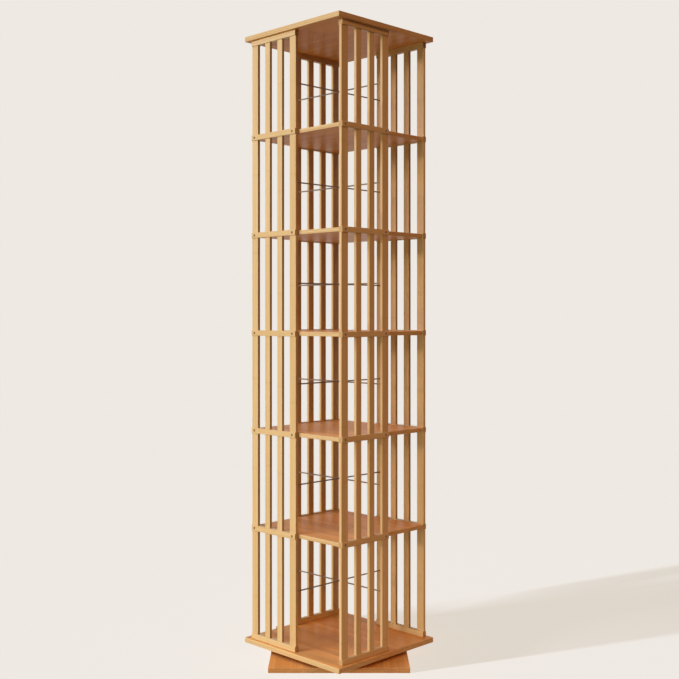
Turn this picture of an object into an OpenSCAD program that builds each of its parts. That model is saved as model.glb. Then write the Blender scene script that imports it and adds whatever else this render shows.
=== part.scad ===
// Rotating shelf. Square shelves between a top and a bottom panel are held by four slatted
// frames. Each frame covers half of one side, and they follow one another round the shelves
// like the blades of a pinwheel, so every tier has four bays, one open to each side. The
// carousel turns on a ball turntable, which stands on a square base plate.
// Millimetres, +Z up. The origin is on the floor, under the middle of the base plate.

/* [Panels] */
// Side of the square top and bottom panels
panel_w = 400; // [360:1:460]
// Thickness of the top and bottom panels
panel_t = 15; // [12:1:20]
// How far the panels stand proud of the rails
panel_lip = 8.5; // [5:0.5:14]
// Rounding of the edges of the panels, the shelves and the base plate
board_round = 1.5; // [1:0.1:2.5]

/* [Base] */
// Side of the square base plate
base_w = 400; // [320:1:460]
// Thickness of the base plate
base_t = 15; // [14:1:22]
// Turn of the base plate against the shelves, as the shelf stands
base_turn = 45; // [35:1:55]

/* [Tiers] */
// Number of tiers
tiers = 6; // [3:1:7]
// Clear height of the lowest tier
bottom_clear = 325; // [240:1:420]
// Clear height of the tiers between
tier_clear = 279; // [200:1:360]
// Clear height of the topmost tier
top_clear = 284; // [200:1:360]
// Thickness of a shelf
shelf_t = 12; // [10:1:15]

/* [Slatted frames] */
// Height of a rail
rail_h = 16; // [16:0.5:24]
// Depth of a rail, out from the edge of the shelf
rail_d = 15; // [13:0.5:20]
// Rounding of a rail's edges
rail_round = 1.2; // [0.6:0.1:2]
// How far a frame reaches past the corner of the shelves
end_lap = 2.5; // [0:0.5:6]
// Width of the two end posts of a frame
post_w = 26; // [20:1:36]
// Width of the slats between the posts
slat_w = 21; // [12:1:28]
// Number of slats between the posts
slats = 2; // [1:1:3]
// Thickness of the posts and slats
slat_t = 9; // [8:0.5:11]
// Rounding of the long edges of the posts and slats
slat_round = 1; // [0.5:0.1:2]
// Length of the tenon at each end of a post or slat
tenon_l = 4; // [3:0.5:5]
// Thickness of a tenon
tenon_t = 5; // [4:0.5:6]
// Shoulder on each side of a tenon
tenon_shoulder = 3; // [2:0.5:4]
// Glue gap round a tenon in its mortise
joint_gap = 0.1; // [0.05:0.05:0.2]

/* [Book stops] */
// Diameter of the steel rods
rod_d = 4; // [3:0.5:6]
// Depth of a rod's seat in the inner post
rod_seat = 6; // [4:0.5:7]
// Gap round a rod in its seat
rod_gap = 0.1; // [0.05:0.05:0.2]

/* [Turntable] */
// Height between the base plate and the bottom panel
bearing_h = 10; // [9.5:0.5:14]
// Side of the turntable's square plates
plate_side = 150; // [146:1:180]
// Thickness of the turntable's plates
plate_t = 1.6; // [1.2:0.1:2]
// Corner radius of the plates
plate_corner = 10; // [5:1:15]
// Radius of the circle that the balls run on
race_r = 58; // [50:1:60]
// Width of the ball races
race_w = 14; // [10:1:16]
// Diameter of a ball
ball_d = 4.76; // [4.4:0.01:5.2]
// Number of balls
balls = 30; // [18:1:36]
// Running gap between a ball and its races
ball_gap = 0.05; // [0.03:0.01:0.1]
// Thickness of the ball cage
cage_t = 1.4; // [1:0.1:1.8]
// Width of the ball cage
cage_w = 12; // [9:1:13]
// Gap round the cage and round each ball in it
cage_gap = 0.3; // [0.2:0.05:0.4]
// Outer diameter of the hollow centre rivet
rivet_d = 12; // [10:1:16]
// Bore of the centre rivet
rivet_bore = 8; // [4:1:8]
// Diameter of the rivet's two flanges
flange_d = 18; // [18:1:26]
// Thickness of the rivet's flanges
flange_t = 1.2; // [1:0.1:2]
// Running gap of the rivet in the turntable's plates
pivot_gap = 0.05; // [0.02:0.01:0.1]
// Room round a flange in the pocket of its board
pocket_room = 1; // [0.5:0.5:3]
// Diameter of the hole in the base plate that lets a driver reach the upper plate's screws
access_d = 18; // [14:1:22]

/* [Screws] */
// Shank diameter of every screw
screw_d = 4; // [3:0.5:5]
// Head diameter of the countersunk screws
head_d = 7.6; // [7.2:0.1:8.4]
// Height of the straight rim of a countersunk head
head_rim = 0.5; // [0.3:0.1:0.8]
// Length of the screws through the rails into the shelves
rail_screw_l = 40; // [30:1:60]
// Depth that the panel screws reach into a rail
panel_screw_bite = 10; // [7:0.5:11]
// Depth that the turntable's screws reach into a board
plate_screw_bite = 10; // [7:0.5:10]
// Head diameter of the turntable's pan head screws
pan_d = 7.6; // [6:0.1:8]
// Head height of the pan head screws
pan_h = 2.2; // [1.6:0.1:2.2]
// Distance of the turntable's screws from the edges of its plates
screw_edge = 10; // [8:1:12]
// Width across the flats of the hexagon sockets
socket_w = 3; // [2.5:0.5:4]
// Depth of the hexagon sockets
socket_h = 1.6; // [1:0.1:1.6]
// Gap round a screw in its hole
screw_gap = 0.1; // [0.05:0.05:0.2]

/* [Hidden] */
$fn = 48;
SIDES = ["front", "right", "back", "left"];
wood = "#C9935F";
wood_light = "#D9A871";
wood_dark = "#B98050";
steel = "#B9B2A6";
zinc = "#9C9C9A";

// Plan sizes. A frame's rails stand against the edge of the shelves.
shelf_w = panel_w - 2 * (panel_lip + rail_d);
frame_y = shelf_w / 2 + rail_d / 2;
frame_x0 = -shelf_w / 2 - end_lap;
frame_x1 = post_w / 2;
frame_w = frame_x1 - frame_x0;
slat_gap = (frame_w - 2 * post_w - slats * slat_w) / (slats + 1);

// Heights, from the floor up
bottom_z = base_t + bearing_h;
deck_z = bottom_z + panel_t;
shelf_pitch = tier_clear + shelf_t;
top_z = shelf_z(tiers - 1) + shelf_t + top_clear;
race_z = base_t + bearing_h / 2;

// Turntable
plate_hole = plate_side / 2 - screw_edge;
race_top = bearing_h / 2 - cage_t / 2 - cage_gap;
ball_r = ball_d / 2;
over = 1;

function shelf_z(n) = deck_z + bottom_clear + (n - 1) * shelf_pitch;
function rail_z(level) =
    level == 0 ? deck_z + rail_h / 2
    : level == tiers ? top_z - rail_h / 2
    : shelf_z(level) + shelf_t / 2;
function slat_low(tier) = rail_z(tier - 1) + rail_h / 2;
function slat_high(tier) = rail_z(tier) - rail_h / 2;
function slat_mid(tier) = (slat_low(tier) + slat_high(tier)) / 2;
function is_post(k) = k == 0 || k == slats + 1;
function member_w(k) = is_post(k) ? post_w : slat_w;
function member_x(k) =
    k == 0 ? frame_x0 + post_w / 2
    : k == slats + 1 ? frame_x1 - post_w / 2
    : frame_x0 + post_w + k * slat_gap + (k - 0.5) * slat_w;
function screw_profile(l, gap) = [
    [0, 0],
    [head_d / 2 + gap, 0],
    [head_d / 2 + gap, -head_rim],
    [screw_d / 2 + gap, -head_rim - (head_d - screw_d) / 2],
    [screw_d / 2 + gap, -l + screw_d],
    [0, -l - gap]
];

// Flat shape with round corners, centred
module round_rect(w, h, r) {
    square([w - 2 * r, h], center = true);
    square([w, h - 2 * r], center = true);
    for (x = [-1, 1], y = [-1, 1])
        translate([x * (w / 2 - r), y * (h / 2 - r)]) circle(r);
}

// Block with every edge rounded, centred
module soft_block(x, y, z, r) {
    intersection() {
        linear_extrude(z, center = true) round_rect(x, y, r);
        rotate([90, 0, 0]) linear_extrude(y, center = true) round_rect(x, z, r);
        rotate([90, 0, 90]) linear_extrude(x, center = true) round_rect(y, z, r);
    }
}

// Square board that lies on z = 0
module board(w, t) {
    translate([0, 0, t / 2]) soft_block(w, w, t, board_round);
}

// Countersunk screw that points down, its head flush with z = 0
module wood_screw(l) {
    difference() {
        rotate_extrude() polygon(screw_profile(l, 0));
        translate([0, 0, -socket_h]) cylinder(h = socket_h + over, d = socket_w / cos(30), $fn = 6);
    }
}

// Hole for that screw
module wood_screw_hole(l) {
    rotate_extrude() polygon(screw_profile(l, screw_gap));
    translate([0, 0, -screw_gap]) cylinder(h = over, r = head_d / 2 + screw_gap);
}

// Pan head screw that points down, its head on z = 0
module pan_screw(l) {
    difference() {
        rotate_extrude() polygon([
            [0, pan_h], [pan_d / 2 - pan_h / 3, pan_h], [pan_d / 2, pan_h * 2 / 3], [pan_d / 2, 0],
            [screw_d / 2, 0], [screw_d / 2, -l + screw_d], [0, -l]
        ]);
        translate([0, 0, pan_h - socket_h]) cylinder(h = socket_h + over, d = socket_w / cos(30), $fn = 6);
    }
}

// Places a frame's parts on one side: 0 front, 1 right, 2 back, 3 left
module on_side(side) rotate([0, 0, 90 * side]) children();

// Places of the screws in the rails' two end posts
module at_posts() {
    for (k = [0, slats + 1]) translate([member_x(k), 0, 0]) children();
}

module rail_screw_places(level) {
    at_posts() translate([0, -frame_y - rail_d / 2, rail_z(level)]) rotate([90, 0, 0]) children();
}

module top_screw_places() {
    at_posts() translate([0, -frame_y, top_z + panel_t]) children();
}

module bottom_screw_places() {
    at_posts() translate([0, -frame_y, bottom_z]) mirror([0, 0, 1]) children();
}

// Corners of a turntable plate
module plate_corners() {
    for (x = [-1, 1], y = [-1, 1]) translate([x * plate_hole, y * plate_hole, 0]) children();
}

// Mortise for the post or slat k, open downwards at z = 0
module mortise(k) {
    w = member_w(k) - 2 * tenon_shoulder + 2 * joint_gap;
    t = tenon_t + 2 * joint_gap;
    translate([member_x(k), -frame_y, (tenon_l + joint_gap - over) / 2])
        cube([w, t, tenon_l + joint_gap + over], center = true);
}

// One rail of the front frame
module rail(level) {
    difference() {
        translate([(frame_x0 + frame_x1) / 2, -frame_y, rail_z(level)])
            soft_block(frame_w, rail_d, rail_h, rail_round);
        for (k = [0 : slats + 1]) {
            if (level > 0)
                translate([0, 0, rail_z(level) - rail_h / 2]) mortise(k);
            if (level < tiers)
                translate([0, 0, rail_z(level) + rail_h / 2]) mirror([0, 0, 1]) mortise(k);
        }
        if (level == 0)
            bottom_screw_places() wood_screw_hole(panel_t + panel_screw_bite);
        else if (level == tiers)
            top_screw_places() wood_screw_hole(panel_t + panel_screw_bite);
        else
            rail_screw_places(level) wood_screw_hole(rail_screw_l);
    }
}

// One post or slat of the front frame, with a tenon at each end
module slat(k, tier) {
    low = slat_low(tier);
    l = slat_high(tier) - low;
    difference() {
        translate([member_x(k), -frame_y, low + l / 2]) {
            linear_extrude(l, center = true) round_rect(member_w(k), slat_t, slat_round);
            cube([member_w(k) - 2 * tenon_shoulder, tenon_t, l + 2 * tenon_l], center = true);
        }
        if (k == slats + 1)
            translate([0, -frame_y + slat_t / 2 - rod_seat, slat_mid(tier)])
                rotate([-90, 0, 0]) cylinder(h = rod_seat + over, d = rod_d + 2 * rod_gap);
    }
}

module side_rails(side) {
    color(wood_light) on_side(side) for (level = [0 : tiers]) rail(level);
}

module side_slats(side, tier) {
    color(wood) on_side(side) for (k = [0 : slats + 1]) slat(k, tier);
}

module shelf(n) {
    color(wood_dark) difference() {
        translate([0, 0, shelf_z(n)]) board(shelf_w, shelf_t);
        for (side = [0 : 3]) on_side(side) rail_screw_places(n) wood_screw_hole(rail_screw_l);
    }
}

// A long rod from front to back, and two short rods that are welded to its middle
module book_stop(tier) {
    reach = frame_y - slat_t / 2 + rod_seat - rod_gap;
    color(steel) translate([0, 0, slat_mid(tier)]) {
        rotate([90, 0, 0]) cylinder(h = 2 * reach, d = rod_d, center = true);
        for (turn = [0, 180]) rotate([0, 0, turn]) difference() {
            translate([rod_d / 4, 0, 0]) rotate([0, 90, 0]) cylinder(h = reach - rod_d / 4, d = rod_d);
            rotate([90, 0, 0]) cylinder(h = 2 * rod_d, d = rod_d, center = true);
        }
    }
}

module bottom_panel() {
    color(wood) difference() {
        translate([0, 0, bottom_z]) board(panel_w, panel_t);
        for (side = [0 : 3]) on_side(side) bottom_screw_places() wood_screw_hole(panel_t + panel_screw_bite);
        translate([0, 0, bottom_z - over]) plate_corners()
            cylinder(h = plate_screw_bite + 2 * over, d = screw_d + 2 * screw_gap);
        translate([0, 0, bottom_z - over])
            cylinder(h = flange_t + pocket_room + over, d = flange_d + 2 * pocket_room);
    }
}

module top_panel() {
    color(wood) difference() {
        translate([0, 0, top_z]) board(panel_w, panel_t);
        for (side = [0 : 3]) on_side(side) top_screw_places() wood_screw_hole(panel_t + panel_screw_bite);
    }
}

module base_plate() {
    color(wood_dark) difference() {
        rotate([0, 0, base_turn]) difference() {
            board(base_w, base_t);
            translate([0, 0, base_t - plate_screw_bite - over]) plate_corners()
                cylinder(h = plate_screw_bite + 2 * over, d = screw_d + 2 * screw_gap);
            translate([0, 0, base_t - flange_t - pocket_room])
                cylinder(h = flange_t + pocket_room + over, d = flange_d + 2 * pocket_room);
        }
        translate([plate_hole, plate_hole, -over]) cylinder(h = base_t + 2 * over, d = access_d);
    }
}

// Square plate with a raised ball race, lying on z = 0
module turntable_plate() {
    difference() {
        union() {
            linear_extrude(plate_t) round_rect(plate_side, plate_side, plate_corner);
            cylinder(h = race_top, r = race_r + race_w / 2);
        }
        translate([0, 0, plate_t]) cylinder(h = race_top, r = race_r - race_w / 2);
        translate([0, 0, bearing_h / 2]) rotate_extrude() translate([race_r, 0]) circle(ball_r + ball_gap);
        translate([0, 0, -over]) cylinder(h = plate_t + 2 * over, d = rivet_d + 2 * pivot_gap);
        translate([0, 0, -over]) plate_corners()
            cylinder(h = plate_t + 2 * over, d = screw_d + 2 * screw_gap);
    }
}

module turntable_lower() {
    color(zinc) translate([0, 0, base_t]) rotate([0, 0, base_turn]) turntable_plate();
}

module turntable_upper() {
    color(zinc) translate([0, 0, bottom_z]) mirror([0, 0, 1]) turntable_plate();
}

module ball_places() {
    for (n = [0 : balls - 1]) rotate([0, 0, n * 360 / balls]) translate([race_r, 0, race_z]) children();
}

module bearing_balls() {
    color("silver") ball_places() sphere(ball_r);
}

module ball_cage() {
    color("#E8E4DA") difference() {
        translate([0, 0, race_z]) cylinder(h = cage_t, r = race_r + cage_w / 2, center = true);
        translate([0, 0, race_z]) cylinder(h = cage_t + over, r = race_r - cage_w / 2, center = true);
        ball_places() cylinder(h = cage_t + over, r = ball_r + cage_gap, center = true);
    }
}

// Holds the two plates together and lets the upper one turn. It is fixed in the lower plate.
module centre_rivet() {
    color(zinc) difference() {
        union() {
            translate([0, 0, base_t - flange_t]) cylinder(h = flange_t, d = flange_d);
            translate([0, 0, base_t - over]) cylinder(h = bearing_h + pivot_gap + 2 * over, d = rivet_d);
            translate([0, 0, bottom_z + pivot_gap]) cylinder(h = flange_t, d = flange_d);
        }
        translate([0, 0, base_t - flange_t - over])
            cylinder(h = bearing_h + 2 * flange_t + 3 * over, d = rivet_bore);
    }
}

module base_screws() {
    color(zinc) translate([0, 0, base_t + plate_t]) rotate([0, 0, base_turn])
        plate_corners() pan_screw(plate_t + plate_screw_bite - screw_gap);
}

module turntable_screws() {
    color(zinc) translate([0, 0, bottom_z - plate_t]) mirror([0, 0, 1])
        plate_corners() pan_screw(plate_t + plate_screw_bite - screw_gap);
}

module rail_screws() {
    color(zinc) for (side = [0 : 3], level = [1 : tiers - 1])
        on_side(side) rail_screw_places(level) wood_screw(rail_screw_l);
}

module top_screws() {
    color(zinc) for (side = [0 : 3])
        on_side(side) top_screw_places() wood_screw(panel_t + panel_screw_bite);
}

module bottom_screws() {
    color(zinc) for (side = [0 : 3])
        on_side(side) bottom_screw_places() wood_screw(panel_t + panel_screw_bite);
}

base_plate();
turntable_lower();
turntable_upper();
bearing_balls();
ball_cage();
centre_rivet();
base_screws();
turntable_screws();
bottom_panel();
top_panel();
for (n = [1 : tiers - 1])
    shelf(n);
for (side = [0 : 3])
    side_rails(side);
for (side = [0 : 3], tier = [1 : tiers])
    side_slats(side, tier);
for (tier = [1 : tiers])
    book_stop(tier);
rail_screws();
top_screws();
bottom_screws();
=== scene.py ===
"""Rotating shelf in lacquered bamboo: finishes, small fittings, studio and camera."""

import logging
import math
from abc import ABC, abstractmethod
from collections.abc import Mapping, Sequence
from dataclasses import dataclass
from enum import Enum
from typing import Any

import bmesh
import bpy
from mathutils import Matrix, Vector


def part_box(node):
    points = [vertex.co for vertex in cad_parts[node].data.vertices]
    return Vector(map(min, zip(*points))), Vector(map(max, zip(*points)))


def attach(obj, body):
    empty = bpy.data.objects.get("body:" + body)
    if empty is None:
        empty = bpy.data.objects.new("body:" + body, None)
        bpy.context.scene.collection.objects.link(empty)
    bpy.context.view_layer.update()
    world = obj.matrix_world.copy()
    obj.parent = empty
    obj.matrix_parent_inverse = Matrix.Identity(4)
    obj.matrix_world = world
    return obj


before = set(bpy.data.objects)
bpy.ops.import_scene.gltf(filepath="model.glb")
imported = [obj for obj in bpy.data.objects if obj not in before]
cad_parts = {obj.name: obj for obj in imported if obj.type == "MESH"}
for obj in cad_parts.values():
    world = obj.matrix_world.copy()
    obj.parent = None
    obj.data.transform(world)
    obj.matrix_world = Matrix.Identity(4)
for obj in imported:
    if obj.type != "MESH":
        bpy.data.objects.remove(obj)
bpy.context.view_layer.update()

log = logging.getLogger("rotating_shelf")

Colour = tuple[float, float, float]
Point = tuple[float, float, float]

# Corners of a new mesh that lie closer than this, in metres, are one
MERGE_DISTANCE = 1e-6
NOISE_MEAN = 0.5
BACKDROP: Colour = (0.855, 0.815, 0.768)


# Shader desk


@dataclass(frozen=True)
class Flow:
    """An output of a shader node. Arithmetic on it adds Math nodes."""

    desk: "Desk"
    socket: bpy.types.NodeSocket

    def _math(self, operation: str, *values: "Flow | float") -> "Flow":
        """Add one Math node that takes these values."""
        return self.desk.node("ShaderNodeMath", {"operation": operation}, dict(enumerate(values)))

    def __add__(self, other: "Flow | float") -> "Flow":
        """Sum."""
        return self._math("ADD", self, other)

    def __radd__(self, other: float) -> "Flow":
        """Sum with a number on the left."""
        return self._math("ADD", other, self)

    def __sub__(self, other: "Flow | float") -> "Flow":
        """Difference."""
        return self._math("SUBTRACT", self, other)

    def __rsub__(self, other: float) -> "Flow":
        """Difference from a number."""
        return self._math("SUBTRACT", other, self)

    def __mul__(self, other: "Flow | float") -> "Flow":
        """Product."""
        return self._math("MULTIPLY", self, other)

    def __truediv__(self, other: "Flow | float") -> "Flow":
        """Quotient."""
        return self._math("DIVIDE", self, other)

    def __abs__(self) -> "Flow":
        """Size without its sign."""
        return self._math("ABSOLUTE", self)

    def floor(self) -> "Flow":
        """Whole number below."""
        return self._math("FLOOR", self)

    def fraction(self) -> "Flow":
        """Part after the point."""
        return self._math("FRACT", self)

    def larger(self, other: "Flow | float") -> "Flow":
        """Larger of two."""
        return self._math("MAXIMUM", self, other)

    def swing(self, size: float) -> "Flow":
        """Noise as a swing about 0, of a size."""
        return (self - NOISE_MEAN) * size

    def rise(self, start: float, end: float) -> "Flow":
        """Smooth step.

        Args:
            start: Value at which the result leaves 0.
            end: Value at which it reaches 1.

        Returns:
            The step, which falls instead where start is above end.
        """
        low, high, base, top = (start, end, 0.0, 1.0) if start < end else (end, start, 1.0, 0.0)
        return self.desk.node(
            "ShaderNodeMapRange",
            {"interpolation_type": "SMOOTHSTEP"},
            {"Value": self, "From Min": low, "From Max": high, "To Min": base, "To Max": top},
        )


class Desk:
    """A node tree, and the ways to add nodes to it."""

    def __init__(self, tree: bpy.types.NodeTree) -> None:
        """Start with an empty tree.

        Args:
            tree: Node tree of a material or of the world.
        """
        self.tree = tree
        tree.nodes.clear()

    @staticmethod
    def _pick(sockets: Any, name: str | int) -> bpy.types.NodeSocket:
        """Find a socket by its number, identifier or name."""
        if isinstance(name, int):
            return sockets[name]
        return next((s for s in sockets if s.identifier == name), None) or sockets[name]

    def node(
        self,
        kind: str,
        settings: Mapping[str, Any] | None = None,
        sockets: Mapping[str | int, Any] | None = None,
        output: str | int | None = 0,
    ) -> Flow | None:
        """Add any node.

        Args:
            kind: Type of the node.
            settings: Its properties, with "stops" for a colour ramp's positions and colours, and
                "steps" for the way it goes from one to the next.
            sockets: Values or flows of its input sockets.
            output: The output that is wanted, or None for an output node.

        Returns:
            That output as a flow.
        """
        made = self.tree.nodes.new(kind)
        for name, value in (settings or {}).items():
            if name == "stops":
                ramp = made.color_ramp
                while len(ramp.elements) < len(value):
                    ramp.elements.new(1.0)
                for element, (place, colour) in zip(ramp.elements, value):
                    element.position = place
                    element.color = (*colour, 1.0)
            elif name == "steps":
                made.color_ramp.interpolation = value
            else:
                setattr(made, name, value)
        for name, value in (sockets or {}).items():
            socket = self._pick(made.inputs, name)
            if isinstance(value, Flow):
                self.tree.links.new(value.socket, socket)
            elif isinstance(value, tuple) and len(value) == 3 and socket.type == "RGBA":
                socket.default_value = (*value, 1.0)
            else:
                socket.default_value = value
        return None if output is None else Flow(self, self._pick(made.outputs, output))

    def mix(
        self, share: Flow | float, first: Flow | Colour, second: Flow | Colour, how: str = "MIX"
    ) -> Flow:
        """Mix two colours.

        Args:
            share: How much of the second colour, from 0 to 1.
            first: Colour at 0.
            second: Colour at 1.
            how: Blend mode of the Mix node.

        Returns:
            The mixed colour.
        """
        return self.node(
            "ShaderNodeMix",
            {"data_type": "RGBA", "blend_type": how},
            {"Factor_Float": share, "A_Color": first, "B_Color": second},
            "Result_Color",
        )

    def noise(self, place: Flow, scale: float, detail: float = 2.0, roughness: float = 0.5) -> Flow:
        """Smooth noise about 0.5 at a place."""
        return self.node(
            "ShaderNodeTexNoise",
            {"noise_dimensions": "3D"},
            {"Vector": place, "Scale": scale, "Detail": detail, "Roughness": roughness},
        )

    def chance(self, *parts: Flow | float) -> Flow:
        """Random number from 0 to 1 that depends on up to three numbers."""
        place = self.join(*parts)
        return self.node("ShaderNodeTexWhiteNoise", {"noise_dimensions": "3D"}, {"Vector": place})

    def join(self, *parts: Flow | float) -> Flow:
        """Vector of up to three numbers."""
        return self.node("ShaderNodeCombineXYZ", sockets=dict(enumerate(parts)))

    def split(self, vector: Flow) -> tuple[Flow, Flow, Flow]:
        """The three numbers of a vector."""
        node = self.node("ShaderNodeSeparateXYZ", sockets={0: vector}).socket.node
        return tuple(Flow(self, out) for out in node.outputs)

    def stretch(self, place: Flow, scales: Point) -> Flow:
        """Scale a place by a number for each axis."""
        return self.join(*(part * scale for part, scale in zip(self.split(place), scales)))

    def own(self) -> Flow:
        """Coordinates of the object, in metres."""
        return self.node("ShaderNodeTexCoord", output="Object")

    def place(self, centre: Point, turn: float) -> tuple[Flow, Flow]:
        """Coordinates and normal in a piece's own axes.

        Args:
            centre: Middle of the piece, in metres.
            turn: Turn of the piece about Z, in degrees.

        Returns:
            The coordinates from the centre, and the normal.
        """
        spin = (0.0, 0.0, math.radians(turn))
        facing = self.node("ShaderNodeTexCoord", output="Normal")
        back = {"vector_type": "TEXTURE"}
        moved = {"Vector": self.own(), "Location": centre, "Rotation": spin}
        return (
            self.node("ShaderNodeMapping", back, moved),
            self.node("ShaderNodeMapping", back, {"Vector": facing, "Rotation": spin}),
        )

    def stairs(self, value: Flow, low: float, high: float, steps: Sequence[tuple[float, float]]) -> Flow:
        """A number that changes in steps.

        Args:
            value: The number that is looked up.
            low: Lowest value and lowest result.
            high: Highest value and highest result.
            steps: Where each step starts, and the result on it.

        Returns:
            The result of the step that holds the value.
        """
        span = high - low
        stops = [((start - low) / span, ((result - low) / span,) * 3) for start, result in steps]
        ramp = {"stops": stops, "steps": "CONSTANT"}
        grey = self.node("ShaderNodeValToRGB", ramp, {0: (value - low) / span})
        return grey * span + low

    def bump(self, height: Flow, strength: float, distance: float) -> Flow:
        """Normal that follows a height from 0 to 1, over a distance in metres."""
        return self.node(
            "ShaderNodeBump", sockets={"Height": height, "Strength": strength, "Distance": distance}
        )

    def shader(self, **sockets: Any) -> Flow:
        """Principled shader; underscores in the names stand for spaces."""
        return self.node(
            "ShaderNodeBsdfPrincipled", sockets={name.replace("_", " "): v for name, v in sockets.items()}
        )


# Finishes


class Finish(ABC):
    """A procedural finish."""

    name: str

    @abstractmethod
    def surface(self, desk: Desk) -> Flow:
        """Wire the shader and return it."""

    def material(self) -> bpy.types.Material:
        """Make the Blender material of this finish."""
        made = bpy.data.materials.new(self.name)
        made.use_nodes = True
        desk = Desk(made.node_tree)
        desk.node("ShaderNodeOutputMaterial", sockets={"Surface": self.surface(desk)}, output=None)
        return made


class Fibres(Enum):
    """Which way the fibres run in a stick of a frame."""

    LEVEL = "level"
    UPRIGHT = "upright"


@dataclass(frozen=True)
class Spot:
    """Where a point of the surface lies in its strip of bamboo."""

    along: Flow
    across: Flow
    inward: Flow
    chance: Flow
    edge: Flow
    end: Flow
    seam: Flow | float
    flank: Flow | float = 0.0


@dataclass(frozen=True)
class Grain:
    """Noise that is drawn out along the fibres, by its cycles for each metre."""

    along: float
    across: float
    detail: float
    roughness: float = 0.5

    def noise(self, desk: Desk, spot: Spot, shift: Flow) -> Flow:
        """Noise at a spot, shifted along the fibres."""
        along = spot.along * self.along + shift
        place = desk.join(along, spot.across * self.across, spot.inward * self.across)
        return desk.noise(place, scale=1.0, detail=self.detail, roughness=self.roughness)


@dataclass(frozen=True)
class Bamboo(Finish):
    """Bamboo under satin lacquer: fibres, knuckles, glue lines and paler edges, partly wear and partly a
    painted highlight.

    Names with tone say how much a pattern shifts the colour, names with relief how much it stands
    out, and names with rough how much it dulls the lacquer. Widths and depths are in metres. A pair
    is where a pattern starts and where it is full.
    """

    name: str
    seed: float
    pale: Colour = (0.775, 0.385, 0.126)
    deep: Colour = (0.555, 0.214, 0.051)
    burnt: Colour = (0.27, 0.115, 0.036)
    # Pale edge colour: on the edges partly wear and partly a painted highlight; the boards' cut edges take
    # it too
    edge_pale: Colour = (0.715, 0.516, 0.292)
    edge_deep: Colour = (0.537, 0.332, 0.144)
    ripe: Colour = (1.0, 0.90, 0.80)
    coarse_grain: Grain = Grain(1.6, 48.0, 2.0)
    fibre_grain: Grain = Grain(5.0, 310.0, 3.0, 0.62)
    thread_grain: Grain = Grain(16.0, 1250.0, 1.0)
    strip_shift: float = 7.3
    dot_scale: float = 900.0
    dot_low: float = 0.35
    dot_contrast: float = 1.6
    cloud_along: float = 3.0
    cloud_across: float = 9.0
    cloud_low: float = 0.42
    cloud_share: float = 0.55
    mean_tone: float = 0.62
    coarse_tone: float = 0.75
    fibre_tone: float = 0.95
    thread_tone: float = 0.30
    halo_tone: float = 0.05
    variety: float = 0.30
    knuckle_pitch: float = 0.27
    knuckle_shift: float = 5.7
    knuckle_wobble: float = 0.0022
    knuckle_line: tuple[float, float] = (0.0019, 0.0005)
    knuckle_halo: tuple[float, float] = (0.012, 0.002)
    knuckle_share: float = 0.10
    seam_share: float = 0.55
    end_facing: tuple[float, float] = (0.62, 0.88)
    end_share: float = 0.72
    # Band along the edges that is painted paler, partly as wear and partly as a painted highlight: its
    # width, share and cloudiness
    wear: float = 0.0018
    wear_and_highlight_share: float = 0.25
    wear_and_highlight_cloud: float = 0.35
    fibre_relief: float = 0.55
    thread_relief: float = 0.20
    knuckle_relief: float = 0.30
    halo_relief: float = 0.25
    seam_relief: float = 0.8
    end_relief: float = 0.5
    relief: float = 0.22
    relief_depth: float = 0.0004
    rough: float = 0.40
    fibre_rough: float = 0.22
    end_rough: float = 0.18
    wear_polish: float = 0.07
    shine: float = 0.12

    @abstractmethod
    def spot(self, desk: Desk) -> Spot:
        """Find where a point lies in its strip."""

    def tint(self, desk: Desk, spot: Spot, tone: Flow) -> Flow:
        """Colour of the fibres, from their tone."""
        return desk.mix(tone, self.deep, self.pale)

    def edge_nearness(self, gap: Flow) -> Flow:
        """How near a point is to an edge, from 0 to 1, at a distance from it: the band that is painted
        paler, partly as wear and partly as a painted highlight.
        """
        return gap.rise(self.wear, 0.0)

    def _knuckle(self, spot: Spot, fibre: Flow) -> tuple[Flow, Flow]:
        """Line of the nearest knuckle and the halo round it, each from 0 to 1."""
        part = (spot.along / self.knuckle_pitch + spot.chance * self.knuckle_shift).fraction()
        away = abs(part - 0.5) * self.knuckle_pitch + fibre.swing(self.knuckle_wobble)
        return away.rise(*self.knuckle_line), away.rise(*self.knuckle_halo)

    def surface(self, desk: Desk) -> Flow:
        """Wire the lacquered bamboo."""
        spot = self.spot(desk)
        shift = spot.chance * self.strip_shift + self.seed
        coarse = self.coarse_grain.noise(desk, spot, shift)
        fibre = self.fibre_grain.noise(desk, spot, shift)
        thread = self.thread_grain.noise(desk, spot, shift)
        dots = desk.noise(desk.join(spot.across, spot.inward, shift), self.dot_scale, detail=1.0)
        cloud_place = desk.join(spot.along * self.cloud_along, spot.across * self.cloud_across, shift)
        cloud = desk.noise(cloud_place, scale=1.0)
        knuckle, halo = self._knuckle(spot, fibre)

        tone = (
            self.mean_tone
            + spot.chance.swing(self.variety)
            + coarse.swing(self.coarse_tone)
            + fibre.swing(self.fibre_tone)
            + thread.swing(self.thread_tone)
            - halo * self.halo_tone
        )
        plain = self.tint(desk, spot, tone)
        riper = desk.mix(1.0, plain, self.ripe, "MULTIPLY")
        clouded = desk.mix((cloud - self.cloud_low) * self.cloud_share, plain, riper)
        mark = (knuckle * self.knuckle_share).larger(spot.seam * self.seam_share)
        marked = desk.mix(mark, clouded, self.burnt)
        sawn = desk.mix((dots - self.dot_low) * self.dot_contrast, self.deep, self.burnt)
        capped = desk.mix(spot.end * self.end_share, marked, sawn)
        # Edges turn paler: partly wear on the lacquer and partly a painted highlight along them
        worn_and_highlit = desk.mix(spot.edge * (self.wear_and_highlight_share + cloud * self.wear_and_highlight_cloud), capped, self.edge_pale)

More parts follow.
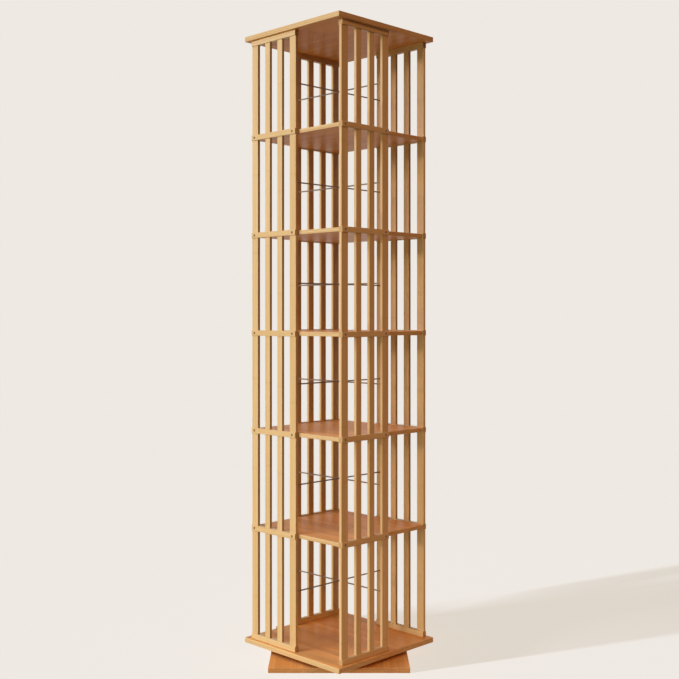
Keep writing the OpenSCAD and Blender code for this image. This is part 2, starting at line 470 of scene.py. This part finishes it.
        height = (
            fibre * self.fibre_relief
            + thread * self.thread_relief
            - knuckle * self.knuckle_relief
            + halo * self.halo_relief
            - spot.seam * self.seam_relief
            - spot.end * dots * self.end_relief
        )
        dulled = fibre.swing(self.fibre_rough) + spot.end * self.end_rough - spot.edge * self.wear_polish
        return desk.shader(
            Base_Color=worn_and_highlit,
            Roughness=self.rough + dulled,
            Specular_IOR_Level=self.shine,
            Normal=desk.bump(height, self.relief, self.relief_depth),
        )


@dataclass(frozen=True)
class BambooBoard(Bamboo):
    """Square board pressed from three layers of strips, its fibres along its own X.

    The pressed faces are caramel and the sawn edges all round pale; the split is partly the board's own
    colour and partly painted shade on the flat faces, which look up and down.
    """

    centre: Point = (0.0, 0.0, 0.0)
    side: float = 0.4
    thickness: float = 0.015
    turn: float = 0.0
    layers: int = 3
    layer_slack: float = 0.001
    layer_shift: float = 0.37
    layer_seam: tuple[float, float] = (0.00035, 0.00008)
    strip: float = 0.0203
    strip_seam: tuple[float, float] = (0.00055, 0.00010)
    seed_shift: float = 0.13
    flank_facing: tuple[float, float] = (0.80, 0.45)
    wear: float = 0.0022
    end_share: float = 0.22
    variety: float = 0.46

    def tint(self, desk: Desk, spot: Spot, tone: Flow) -> Flow:
        """Colour of the fibres, on the faces and on the edges."""
        sawn = desk.mix(tone, self.edge_deep, self.edge_pale)
        # Pale on the edges and caramel on the flat faces: partly the board's own colour and partly painted
        # shade on the flat faces
        return desk.mix(spot.flank, super().tint(desk, spot, tone), sawn)

    def spot(self, desk: Desk) -> Spot:
        """Find the strip from the layer and the distance across the board."""
        own, facing = desk.place(self.centre, self.turn)
        along, across, inward = desk.split(own)
        level = inward / self.thickness * (self.layers - self.layer_slack) + self.layers / 2.0
        layer = level.floor()
        row = across / self.strip + layer * self.layer_shift + self.seed * self.seed_shift
        chance = desk.chance(row.floor(), layer, self.seed)
        strip_gap = (0.5 - abs(row.fraction() - 0.5)) * self.strip
        layer_gap = abs(abs(inward) - self.thickness / (2.0 * self.layers))
        seam = strip_gap.rise(*self.strip_seam).larger(layer_gap.rise(*self.layer_seam))
        halves = (self.side / 2.0, self.side / 2.0, self.thickness / 2.0)
        near = [self.edge_nearness(half - abs(way)) for half, way in zip(halves, (along, across, inward))]
        edge = (near[0] * near[1]).larger(near[1] * near[2]).larger(near[0] * near[2])
        normal = desk.split(facing)
        end = abs(normal[0]).rise(*self.end_facing)
        flank = abs(normal[2]).rise(*self.flank_facing)
        return Spot(along, across, inward, chance, edge, end, seam, flank)


@dataclass(frozen=True)
class BambooStick(Bamboo):
    """Sticks of one side's frame, read in the front frame's axes.

    The pieces of a node lie side by side: posts and slats along X, rails along Z. Rails have their
    edges painted paler up to a height, partly as wear and partly as a painted highlight, and those
    above it keep their plain lacquer colour. The centres are looked up from a margin before the
    first piece to a margin past the last, and the half widths within a reach on each side of the
    middle.
    """

    turn: float = 0.0
    depth_at: float = -0.184
    half_depth: float = 0.0045
    fibres: Fibres = Fibres.UPRIGHT
    pieces: tuple[tuple[float, float], ...] = ()
    ends: tuple[float, float] = (-0.179, 0.013)
    margin: float = 0.06
    reach: float = 0.25
    # Height up to which the rails' edges are painted paler, partly as wear and partly as a painted
    # highlight
    edge_marks_up_to: float = 1.0
    piece_key: float = 97.0
    pale: Colour = (0.715, 0.516, 0.292)
    deep: Colour = (0.537, 0.332, 0.144)

    def _steps(self, values: Sequence[float]) -> list[tuple[float, float]]:
        """Steps that change half-way between the pieces' centres."""
        centres = [centre for centre, _ in self.pieces]
        starts = [centres[0] - self.margin] + [(a + b) / 2.0 for a, b in zip(centres, centres[1:])]
        return list(zip(starts, values))

    def _half(self, desk: Desk, over: Flow) -> Flow:
        """Half width of the piece, from the place across the pieces."""
        halves = [half for _, half in self.pieces]
        if self.fibres is Fibres.LEVEL:
            far = self.edge_marks_up_to
            return desk.stairs(over, 0.0, far, [(0.0, halves[0]), (far, far)])
        steps = [(start + self.reach, half) for start, half in self._steps(halves)]
        return desk.stairs(over + self.reach, 0.0, 2.0 * self.reach, steps)

    def spot(self, desk: Desk) -> Spot:
        """Find the piece, and the place in it."""
        own, facing = desk.place((0.0, 0.0, 0.0), self.turn)
        wide, deep, up = desk.split(own)
        normal = desk.split(facing)
        upright = self.fibres is Fibres.UPRIGHT
        along, over = (up, wide) if upright else (wide, up)
        low, high = self.pieces[0][0] - self.margin, self.pieces[-1][0] + self.margin
        centre = desk.stairs(over, low, high, self._steps([middle for middle, _ in self.pieces]))
        across, inward = over - centre, deep - self.depth_at
        chance = desk.chance(centre * self.piece_key, self.seed, self.turn)
        near_side = self.edge_nearness(self._half(desk, over) - abs(across))
        near_face = self.edge_nearness(self.half_depth - abs(inward))
        edge = near_side * near_face
        end = abs(normal[2] if upright else normal[0]).rise(*self.end_facing)
        if not upright:
            near_tip = self.edge_nearness(along - self.ends[0]).larger(self.edge_nearness(self.ends[1] - along))
            edge = edge.larger(near_tip * near_side.larger(near_face))
        return Spot(along, across, inward, chance, edge, end, 0.0)


@dataclass(frozen=True)
class DrawnSteel(Finish):
    """Browned drawn steel rod, with fine lines round it and a few dull spots."""

    name: str = "rod_steel"
    tint: Colour = (0.29, 0.205, 0.145)
    dull: Colour = (0.12, 0.080, 0.054)
    line_scales: Point = (60.0, 60.0, 2600.0)
    spot_scale: float = 240.0
    patch_scale: float = 22.0
    uneven: float = 0.6
    spot_share: float = 0.6
    patch_share: float = 0.4
    worn_range: tuple[float, float] = (0.50, 0.72)
    worn_tone: float = 0.7
    line_tone: float = 0.5
    shine: float = 0.5
    rough: float = 0.36
    worn_rough: float = 0.22
    line_rough: float = 0.14
    line_relief: float = 0.7
    spot_relief: float = 0.3
    relief: float = 0.12
    relief_depth: float = 0.0002

    def surface(self, desk: Desk) -> Flow:
        """Wire the rod's metal."""
        own = desk.own()
        lines = desk.noise(desk.stretch(own, self.line_scales), scale=1.0, roughness=self.uneven)
        spots = desk.noise(own, self.spot_scale, detail=3.0, roughness=self.uneven)
        patch = desk.noise(own, self.patch_scale)
        worn = (spots * self.spot_share + patch * self.patch_share).rise(*self.worn_range)
        height = lines * self.line_relief + spots * self.spot_relief
        return desk.shader(
            Base_Color=desk.mix(worn * self.worn_tone + lines.swing(self.line_tone), self.tint, self.dull),
            Specular_IOR_Level=self.shine,
            Roughness=self.rough + worn * self.worn_rough + lines.swing(self.line_rough),
            Normal=desk.bump(height, self.relief, self.relief_depth),
        )


@dataclass(frozen=True)
class ZincPlate(Finish):
    """Zinc plated sheet steel: faint spangle, rolled lines and dulled edges."""

    name: str = "zinc_sheet"
    bright: Colour = (0.60, 0.59, 0.57)
    grey: Colour = (0.38, 0.375, 0.37)
    spangle_scale: float = 190.0
    line_scales: Point = (900.0, 25.0, 25.0)
    cloud_scale: float = 30.0
    spangle_tone: float = 0.45
    cloud_tone: float = 0.5
    line_tone: float = 0.3
    rough: float = 0.28
    grey_rough: float = 0.22
    line_relief: float = 0.4
    cloud_relief: float = 0.6
    relief: float = 0.10
    relief_depth: float = 0.0002

    def surface(self, desk: Desk) -> Flow:
        """Wire the plating."""
        own = desk.own()
        cells = {"Vector": own, "Scale": self.spangle_scale}
        flake = desk.split(desk.node("ShaderNodeTexVoronoi", sockets=cells, output="Color"))[0]
        rolled = desk.noise(desk.stretch(own, self.line_scales), scale=1.0)
        cloud = desk.noise(own, self.cloud_scale, detail=3.0)
        share = flake * self.spangle_tone + cloud * self.cloud_tone + rolled.swing(self.line_tone)
        height = rolled * self.line_relief + cloud * self.cloud_relief
        return desk.shader(
            Base_Color=desk.mix(share, self.bright, self.grey),
            Metallic=1.0,
            Roughness=self.rough + share * self.grey_rough,
            Normal=desk.bump(height, self.relief, self.relief_depth),
        )


@dataclass(frozen=True)
class ScrewSteel(Finish):
    """Screw with a burnt brown plating, worn in small patches."""

    name: str = "screw_steel"
    bright: Colour = (0.33, 0.185, 0.10)
    dark: Colour = (0.13, 0.065, 0.034)
    grit_scale: float = 1500.0
    cloud_scale: float = 210.0
    dark_range: tuple[float, float] = (0.35, 0.75)
    metal: float = 0.45
    rough: float = 0.40
    dark_rough: float = 0.25
    relief: float = 0.15
    relief_depth: float = 0.0001

    def surface(self, desk: Desk) -> Flow:
        """Wire the screw's metal."""
        own = desk.own()
        grit = desk.noise(own, self.grit_scale)
        cloud = desk.noise(own, self.cloud_scale)
        share = ((grit + cloud) * 0.5).rise(*self.dark_range)
        return desk.shader(
            Base_Color=desk.mix(share, self.bright, self.dark),
            Metallic=self.metal,
            Roughness=self.rough + share * self.dark_rough,
            Normal=desk.bump(grit, self.relief, self.relief_depth),
        )


@dataclass(frozen=True)
class BallSteel(Finish):
    """Polished bearing balls with a film of grease."""

    name: str = "ball_steel"
    polished: Colour = (0.66, 0.65, 0.63)
    greased: Colour = (0.42, 0.36, 0.26)
    grease_scale: float = 380.0
    grease_range: tuple[float, float] = (0.45, 0.70)
    rough: float = 0.12
    grease_rough: float = 0.25
    relief: float = 0.08
    relief_depth: float = 0.0001

    def surface(self, desk: Desk) -> Flow:
        """Wire the polished steel."""
        grease = desk.noise(desk.own(), self.grease_scale, detail=3.0).rise(*self.grease_range)
        return desk.shader(
            Base_Color=desk.mix(grease, self.polished, self.greased),
            Metallic=1.0,
            Roughness=self.rough + grease * self.grease_rough,
            Normal=desk.bump(grease, self.relief, self.relief_depth),
        )


@dataclass(frozen=True)
class CagePlastic(Finish):
    """Natural nylon cage, a little yellowed where the grease sits."""

    name: str = "cage_nylon"
    white: Colour = (0.80, 0.77, 0.68)
    yellowed: Colour = (0.62, 0.55, 0.40)
    cloud_scale: float = 60.0
    cloud_contrast: float = 1.4
    cloud_low: float = 0.3
    grain_scale: float = 2200.0
    rough: float = 0.42
    grain_rough: float = 0.2
    milky: float = 0.05
    grain_relief: float = 0.6
    cloud_relief: float = 0.4
    relief: float = 0.12
    relief_depth: float = 0.0002

    def surface(self, desk: Desk) -> Flow:
        """Wire the moulded nylon."""
        own = desk.own()
        cloud = desk.noise(own, self.cloud_scale, detail=3.0)
        grain = desk.noise(own, self.grain_scale)
        height = grain * self.grain_relief + cloud * self.cloud_relief
        return desk.shader(
            Base_Color=desk.mix(cloud * self.cloud_contrast - self.cloud_low, self.white, self.yellowed),
            Roughness=self.rough + grain.swing(self.grain_rough),
            Subsurface_Weight=self.milky,
            Normal=desk.bump(height, self.relief, self.relief_depth),
        )


# Sub-assemblies


class Assembly(ABC):
    """A group of pieces that are dressed together."""

    @abstractmethod
    def build(self) -> list[str]:
        """Dress the pieces, and return their names."""

    @staticmethod
    def dress(node: str, finish: Finish | bpy.types.Material) -> str:
        """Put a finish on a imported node.

        Args:
            node: Name of the node.
            finish: The finish, or its material if it is made already.

        Returns:
            The node's name.
        """
        material = finish.material() if isinstance(finish, Finish) else finish
        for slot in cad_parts[node].material_slots:
            slot.material = material
        return node

    @staticmethod
    def piece(
        name: str, mesh: bmesh.types.BMesh, material: bpy.types.Material, body: str, slot: str
    ) -> str:
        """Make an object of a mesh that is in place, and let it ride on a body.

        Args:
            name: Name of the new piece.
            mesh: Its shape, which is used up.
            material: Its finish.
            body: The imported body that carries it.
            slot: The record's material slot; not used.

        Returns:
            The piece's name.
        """
        bmesh.ops.remove_doubles(mesh, verts=mesh.verts, dist=MERGE_DISTANCE)
        bmesh.ops.recalc_face_normals(mesh, faces=mesh.faces)
        for face in mesh.faces:
            face.smooth = True
        data = bpy.data.meshes.new(name)
        mesh.to_mesh(data)
        mesh.free()
        data.materials.append(material)
        made = bpy.data.objects.new(name, data)
        bpy.context.scene.collection.objects.link(made)
        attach(made, body)
        return name


@dataclass
class Boards(Assembly):
    """Base plate, bottom and top panels and the shelves between them, sizes in metres.

    Each seed gives a board strips of its own.
    """

    panel_side: float = 0.400
    shelf_side: float = 0.353
    shelves: int = 5
    base_turn: float = 135.0
    # Edge colours of the base plate, lighter than its flat faces, whose darker colour is partly painted
    # shade
    base_edge_pale: Colour = (0.66, 0.385, 0.180)
    base_deep: Colour = (0.50, 0.242, 0.086)
    base_seed: float = 3.0
    bottom_seed: float = 11.0
    top_seed: float = 17.0
    shelf_seed: float = 20.0
    shelf_seed_step: float = 3.7

    def _board(self, node: str, seed: float, side: float, **others: Any) -> str:
        """Dress a board in a finish that is centred on it."""
        low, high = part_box(node)
        finish = BambooBoard(
            name=f"board_{node}",
            seed=seed,
            centre=tuple((low + high) / 2.0),
            side=side,
            thickness=high.z - low.z,
            **others,
        )
        return self.dress(node, finish)

    def build(self) -> list[str]:
        """Dress every board in its own strips."""
        sealed = {"turn": self.base_turn, "edge_pale": self.base_edge_pale, "edge_deep": self.base_deep}
        made = [
            self._board("base_plate", self.base_seed, self.panel_side, **sealed),
            self._board("bottom_panel", self.bottom_seed, self.panel_side),
            self._board("top_panel", self.top_seed, self.panel_side),
        ]
        for n in range(1, self.shelves + 1):
            seed = self.shelf_seed + self.shelf_seed_step * n
            made.append(self._board(f"shelf_{n}", seed, self.shelf_side))
        return made


@dataclass
class SlattedSide(Assembly):
    """Rails, posts and slats of one side, sizes in metres."""

    side: str
    quarter: int
    tiers: int = 6
    outer: float = -0.179
    post: float = 0.026
    slat: float = 0.021
    slats: int = 2
    inner: float = 0.013
    rail_half: tuple[float, float] = (0.008, 0.0075)
    rail_heights: tuple[float, ...] = (0.048, 0.371, 0.662, 0.953, 1.244, 1.535, 1.817)
    rail_seed: float = 40.0
    slat_seed: float = 50.0
    tier_seed: float = 9.1

    def _members(self) -> tuple[tuple[float, float], ...]:
        """Centre and half width of the posts and slats, along the side."""
        gap = (self.inner - self.outer - 2 * self.post - self.slats * self.slat) / (self.slats + 1)
        found = [(self.outer + self.post / 2, self.post / 2)]
        for k in range(1, self.slats + 1):
            found.append((self.outer + self.post + k * gap + (k - 0.5) * self.slat, self.slat / 2))
        return (*found, (self.inner - self.post / 2, self.post / 2))

    def build(self) -> list[str]:
        """Dress the rails, and the posts and slats of every tier."""
        turn = 90.0 * self.quarter
        rails = BambooStick(
            name=f"rails_{self.side}",
            seed=self.rail_seed + self.quarter,
            turn=turn,
            fibres=Fibres.LEVEL,
            half_depth=self.rail_half[1],
            pieces=tuple((z, self.rail_half[0]) for z in self.rail_heights),
            ends=(self.outer, self.inner),
        )
        made = [self.dress(f"{self.side}_rails", rails)]
        for tier in range(1, self.tiers + 1):
            sticks = BambooStick(
                name=f"slats_{self.side}_{tier}",
                seed=self.slat_seed + self.tier_seed * tier + self.quarter,
                turn=turn,
                pieces=self._members(),
            )
            made.append(self.dress(f"{self.side}_slats_{tier}", sticks))
        return made


@dataclass
class BookStops(Assembly):
    """Steel rods of each tier, with the weld beads where they cross, sizes in metres."""

    tiers: int = 6
    rod_radius: float = 0.002
    bead_radius: float = 0.0007
    bead_height: float = 0.75
    bead_lift: float = 0.0001
    bead_segments: int = 10
    bead_steps: int = 28
    ripples: float = 7.0
    ripple_size: float = 0.05
    saddle_share: float = 0.9

    def _ring(self, mesh: bmesh.types.BMesh) -> None:
        """Add a plain ring round the short rods."""
        new = bmesh.ops.create_circle(
            mesh, cap_ends=False, segments=self.bead_segments, radius=self.bead_radius
        )["verts"]
        bmesh.ops.scale(mesh, verts=new, vec=(1.0, self.bead_height, 1.0))
        bmesh.ops.translate(mesh, verts=new, vec=(0.0, self.rod_radius, 0.0))
        edges = list({e for v in new for e in v.link_edges})
        bmesh.ops.spin(
            mesh,
            geom=new + edges,
            cent=(0.0, 0.0, 0.0),
            axis=(1.0, 0.0, 0.0),
            angle=math.tau,
            steps=self.bead_steps,
            use_merge=True,
            use_duplicate=False,
        )

    def _beads(self, height: float) -> bmesh.types.BMesh:
        """Shape the two weld beads round the short rods.

        Args:
            height: Height of the rods' axes.

        Returns:
            Both beads, in place.
        """
        mesh = bmesh.new()
        for side in (-1, 1):
            self._ring(mesh)
            for vert in [v for v in mesh.verts if not v.tag]:
                turn = math.atan2(vert.co.z, vert.co.y)
                bulge = 1.0 + self.ripple_size * math.sin(self.ripples * turn + side)
                drop = 1.0 - math.sqrt(1.0 - self.saddle_share * math.sin(turn) ** 2)
                along = side * (self.rod_radius + self.bead_lift - self.rod_radius * drop) + vert.co.x
                vert.co = Vector((along, vert.co.y * bulge, vert.co.z * bulge))
                vert.tag = True
        bmesh.ops.translate(mesh, verts=mesh.verts, vec=(0.0, 0.0, height))
        return mesh

    def build(self) -> list[str]:
        """Dress the rods, and add the weld beads."""
        steel = DrawnSteel().material()
        made = []
        for tier in range(1, self.tiers + 1):
            node = f"book_stop_{tier}"
            made.append(self.dress(node, steel))
            low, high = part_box(node)
            beads = self._beads((low.z + high.z) / 2.0)
            made.append(self.piece(f"weld_beads_{tier}", beads, steel, "carousel", "steel_rod"))
        return made


@dataclass
class Turntable(Assembly):
    """Ball turntable: two plates, balls in a cage and the hollow rivet."""

    plates: tuple[str, ...] = ("turntable_lower", "turntable_upper", "centre_rivet")

    def build(self) -> list[str]:
        """Dress the metal and the cage."""
        zinc = ZincPlate().material()
        made = [self.dress(node, zinc) for node in self.plates]
        return made + [self.dress("bearing_balls", BallSteel()), self.dress("ball_cage", CagePlastic())]


@dataclass
class Screws(Assembly):
    """All the screws."""

    nodes: tuple[str, ...] = (
        "rail_screws",
        "top_screws",
        "bottom_screws",
        "base_screws",
        "turntable_screws",
    )

    def build(self) -> list[str]:
        """Dress the screws."""
        steel = ScrewSteel().material()
        return [self.dress(node, steel) for node in self.nodes]


# Studio


@dataclass(frozen=True)
class Light(ABC):
    """A light of the studio. It is left out of the picture."""

    name: str
    colour: Colour

    @abstractmethod
    def lamp(self) -> bpy.types.Object:
        """Make the lamp and turn it to the shelf."""

    def _data(self, kind: str, strength: float = 1.0) -> bpy.types.Light:
        """Lamp data of a kind, in the light's colour."""
        data = bpy.data.lights.new(self.name, kind)
        data.energy = strength * max(self.colour)
        data.color = tuple(c / max(self.colour) for c in self.colour)
        return data

    def hang(self, floor: bpy.types.Object, lights_floor: bool = False) -> str:
        """Put the lamp in the scene.

        Args:
            floor: The floor.
            lights_floor: Whether it lights the floor alone, or all but the floor.

        Returns:
            The lamp's name.
        """
        made = self.lamp()
        made.visible_camera = False
        bpy.context.scene.collection.objects.link(made)
        group = bpy.data.collections.new(f"{self.name}_receivers")
        group.objects.link(floor)
        group.collection_objects[0].light_linking.link_state = "INCLUDE" if lights_floor else "EXCLUDE"
        made.light_linking.receiver_collection = group
        return made.name


@dataclass(frozen=True)
class FarLight(Light):
    """A light so far away that it falls on all of the shelf alike.

    Its colour is the light on a surface that faces it, as a share of plain white light. Its
    heading, height and spread are in degrees.
    """

    heading: float
    height: float
    spread: float
    shows_in_gloss: bool = False

    def lamp(self) -> bpy.types.Object:
        """Make a sun lamp: heading from +X, height above level and spread in degrees."""
        data = self._data("SUN", math.pi)
        data.angle = math.radians(self.spread)
        made = bpy.data.objects.new(self.name, data)
        heading, height = math.radians(self.heading), math.radians(self.height)
        level = math.cos(height)
        towards = Vector((math.cos(heading) * level, math.sin(heading) * level, math.sin(height)))
        made.rotation_euler = towards.to_track_quat("Z", "Y").to_euler()
        made.visible_glossy = self.shows_in_gloss
        return made


@dataclass(frozen=True)
class NearLight(Light):
    """A flat lamp near the shelf. Its colour is its power in watts."""

    place: Point
    aim: Point
    size: tuple[float, float]

    def lamp(self) -> bpy.types.Object:
        """Make an area lamp that faces its aim."""
        data = self._data("AREA")
        data.shape = "RECTANGLE"
        data.size, data.size_y = self.size
        made = bpy.data.objects.new(self.name, data)
        made.location = self.place
        towards = Vector(self.aim) - Vector(self.place)
        made.rotation_euler = towards.to_track_quat("-Z", "Y").to_euler()
        made.visible_glossy = False
        return made


@dataclass(frozen=True)
class LowLight(Light):
    """A small round lamp just above the floor. Its colour is its power in watts."""

    place: Point
    radius: float

    def lamp(self) -> bpy.types.Object:
        """Make a point lamp."""
        data = self._data("POINT")
        data.shadow_soft_size = self.radius
        made = bpy.data.objects.new(self.name, data)
        made.location = self.place
        return made


@dataclass(frozen=True)
class FloorFinish(Finish):
    """Pale seamless floor. Far away it turns into the plain backdrop.

    What it throws back on the shelf is a warm bounce, which fades with the distance from the shelf.
    Its paint grows paler away from the low lamp, by as much as the lamp's light falls off, so
    that the floor looks alike everywhere outside the shadow.
    """

    name: str = "studio_floor"
    paint: Colour = (0.171, 0.163, 0.154)
    glow: Colour = (0.730, 0.672, 0.597)
    bounce: Colour = (0.352, 0.253, 0.176)
    bounce_fade: tuple[float, float] = (3.5, 1.0)
    fade: tuple[float, float] = (4.0, 9.0)
    lamp_place: Point = (-1.174, -3.533, 0.124)
    lamp_reach: float = 2.95
    speck_scale: float = 900.0
    speck_relief: float = 0.02
    speck_depth: float = 0.0002

    def surface(self, desk: Desk) -> Flow:
        """Wire the floor."""
        own = desk.own()
        speck = desk.noise(own, self.speck_scale)
        normal = desk.bump(speck, self.speck_relief, self.speck_depth)
        away = desk.node("ShaderNodeVectorMath", {"operation": "LENGTH"}, {0: own}, "Value")
        ends = {0: own, 1: self.lamp_place}
        lamp_way = desk.node("ShaderNodeVectorMath", {"operation": "DISTANCE"}, ends, "Value")
        reach = lamp_way / self.lamp_reach
        scaled = {0: self.paint, "Scale": reach * reach * reach}
        paint = desk.node("ShaderNodeVectorMath", {"operation": "SCALE"}, scaled, "Vector")
        shaded = desk.node("ShaderNodeBsdfDiffuse", sockets={"Color": paint, "Normal": normal})
        glowing = desk.node("ShaderNodeEmission", sockets={"Color": self.glow})
        near = desk.node("ShaderNodeAddShader", sockets={0: glowing, 1: shaded})
        far = desk.node("ShaderNodeEmission", sockets={"Color": BACKDROP})
        seen = desk.node("ShaderNodeMixShader", sockets={0: away.rise(*self.fade), 1: near, 2: far})
        strength = away.rise(*self.bounce_fade)
        lit = desk.node("ShaderNodeEmission", sockets={"Color": self.bounce, "Strength": strength})
        path = "ShaderNodeLightPath"
        share = desk.node(path, output="Is Camera Ray").larger(desk.node(path, output="Is Glossy Ray"))
        return desk.node("ShaderNodeMixShader", sockets={0: share, 1: lit, 2: seen})


@dataclass
class Studio:
    """Pale floor and backdrop, a low key light on the left and softer lights all round."""

    floor_half: float = 60.0
    lights: tuple[Light, ...] = (
        FarLight("key", (0.248, 0.203, 0.161), -105.3, 8.0, 4.0, True),
        FarLight("front_left", (0.190, 0.157, 0.133), -128.0, 12.0, 22.0),
        FarLight("front_right", (0.190, 0.157, 0.133), -82.0, 12.0, 22.0),
        FarLight("front_high", (0.238, 0.220, 0.192), -100.0, 62.0, 40.0),
        FarLight("above", (0.088, 0.094, 0.090), -45.0, 80.0, 60.0),
        FarLight("right_high", (0.306, 0.140, 0.042), 4.0, 40.0, 14.0),
        FarLight("right_low", (0.034, 0.016, 0.005), 2.0, 10.0, 12.0),
        FarLight("behind_right", (0.300, 0.262, 0.225), 106.0, 4.0, 26.0),
        FarLight("behind_left", (0.270, 0.236, 0.203), 166.0, 4.0, 26.0),
        NearLight("upper_left", (18.5, 24.8, 33.0), (-0.8, -2.4, 2.5), (0.0, 0.0, 1.7), (1.2, 0.8)),
        NearLight("lower_left", (23.5, 26.5, 15.5), (-1.0, -3.0, 0.35), (0.0, 0.0, 0.2), (1.2, 0.5)),
    )
    floor_light: Light = LowLight(
        "floor_light", (5855.0, 7081.0, 8967.0), FloorFinish.lamp_place, 0.062
    )

    def _world(self) -> None:
        """Plain backdrop for the camera, gloss and glass, and no light on the rest."""
        world = bpy.data.worlds.new("studio")
        world.use_nodes = True
        desk = Desk(world.node_tree)
        path = "ShaderNodeLightPath"
        seen = (
            desk.node(path, output="Is Camera Ray")
            .larger(desk.node(path, output="Is Glossy Ray"))
            .larger(desk.node(path, output="Is Transmission Ray"))
        )
        plain = desk.node("ShaderNodeBackground", sockets={"Color": BACKDROP, "Strength": seen})
        desk.node("ShaderNodeOutputWorld", sockets={"Surface": plain}, output=None)
        bpy.context.scene.world = world

    def _floor(self) -> bpy.types.Object:
        """Lay the floor."""
        mesh = bmesh.new()
        bmesh.ops.create_grid(mesh, x_segments=2, y_segments=2, size=self.floor_half)
        data = bpy.data.meshes.new("studio_floor")
        mesh.to_mesh(data)
        mesh.free()
        data.materials.append(FloorFinish().material())
        made = bpy.data.objects.new("studio_floor", data)
        bpy.context.scene.collection.objects.link(made)
        return made

    def build(self) -> list[str]:
        """Set up floor, backdrop and lamps."""
        self._world()
        floor = self._floor()
        bpy.context.scene.view_settings.view_transform = "Standard"
        hung = [light.hang(floor) for light in self.lights]
        return [floor.name, *hung, self.floor_light.hang(floor, lights_floor=True)]


@dataclass(frozen=True)
class Viewpoint:
    """Camera at the photograph's place, level, with the frame shifted down a little."""

    distance: float = 3.161
    height: float = 1.0117
    lens: float = 55.861
    shift: tuple[float, float] = (0.00068, -0.03859)
    sensor: float = 36.0
    far_end: float = 200.0

    def build(self) -> list[str]:
        """Place the camera on the diagonal of the front and right sides."""
        data = bpy.data.cameras.new("photo_camera")
        data.lens, data.sensor_width = self.lens, self.sensor
        data.shift_x, data.shift_y = self.shift
        data.clip_end = self.far_end
        made = bpy.data.objects.new("photo_camera", data)
        reach = self.distance / math.sqrt(2.0)
        made.location = (reach, -reach, self.height)
        made.rotation_euler = Vector((-1.0, 1.0, 0.0)).to_track_quat("-Z", "Y").to_euler()
        bpy.context.scene.collection.objects.link(made)
        bpy.context.scene.camera = made
        return [made.name]


def main() -> None:
    """Build the classes in order and report each piece."""
    logging.basicConfig(level=logging.INFO, format="%(name)s: %(message)s")
    names = ("front", "right", "back", "left")
    sides = [SlattedSide(side, quarter) for quarter, side in enumerate(names)]
    for group in (Viewpoint(), Studio(), Boards(), *sides, BookStops(), Turntable(), Screws()):
        for name in group.build():
            log.info("%s: %s", type(group).__name__, name)


if __name__ == "__main__":
    main()
